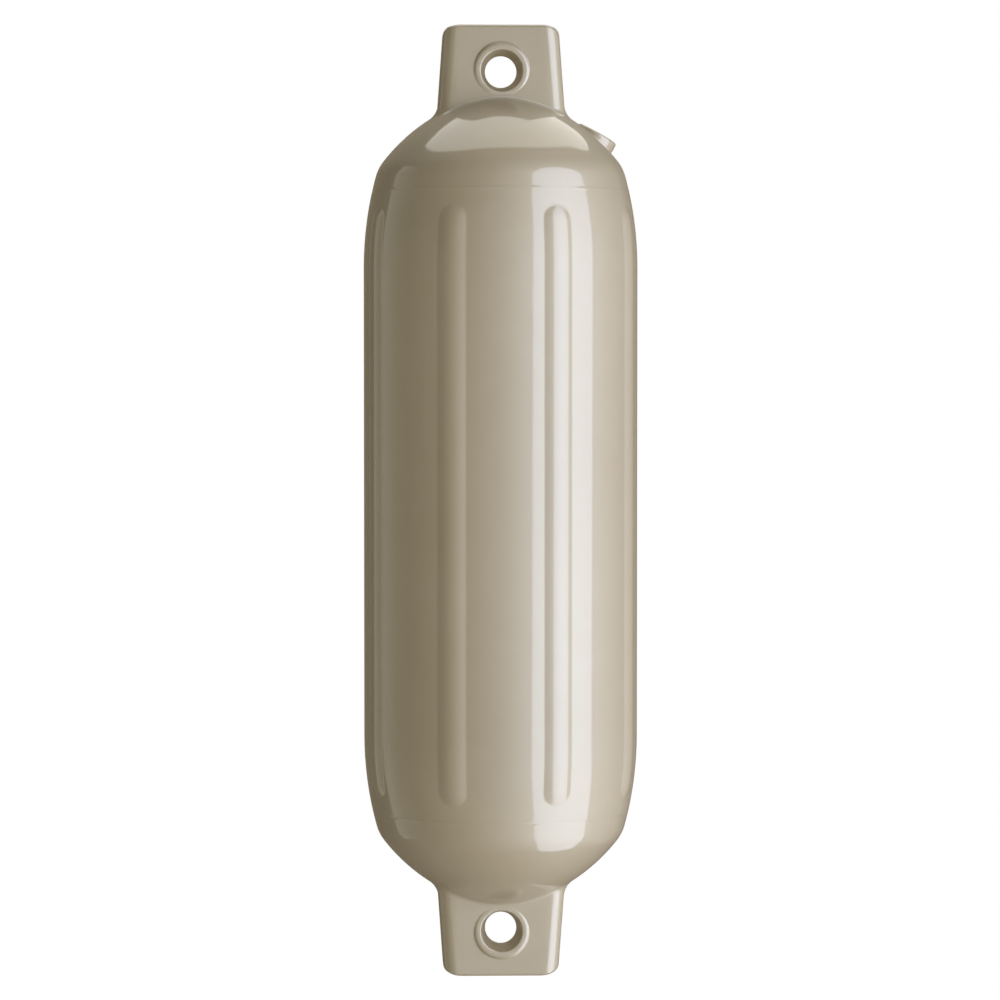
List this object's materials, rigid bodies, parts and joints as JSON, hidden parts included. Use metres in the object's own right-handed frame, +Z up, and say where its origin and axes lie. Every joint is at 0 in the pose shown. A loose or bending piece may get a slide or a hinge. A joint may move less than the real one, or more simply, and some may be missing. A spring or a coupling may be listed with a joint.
{
  "type": "boat fender",
  "caption": "Long inflatable vinyl boat fender, round and ribbed along its body, with a domed end and a flat tab with a rope eye at each end, and an air valve on the upper dome.",
  "frame": {"origin": "middle of the fender, half way between the tips of the two tabs", "axes": "+Z up along the fender's axis towards the eye it hangs from, X across the flat tabs, Y through the eyes"},
  "size_m": [0.1392, 0.1392, 0.4826],
  "materials": {
    "vinyl": "glossy moulded vinyl, taupe",
    "valve_plastic": "moulded, off-white",
    "washer_rubber": "matt black",
    "screw_plastic": "moulded, off-white"
  },
  "bodies": {
    "root": {"fender_body": "vinyl", "valve_insert": "valve_plastic", "valve_washer": "washer_rubber", "valve_screw": "screw_plastic"}
  },
  "joints": []
}
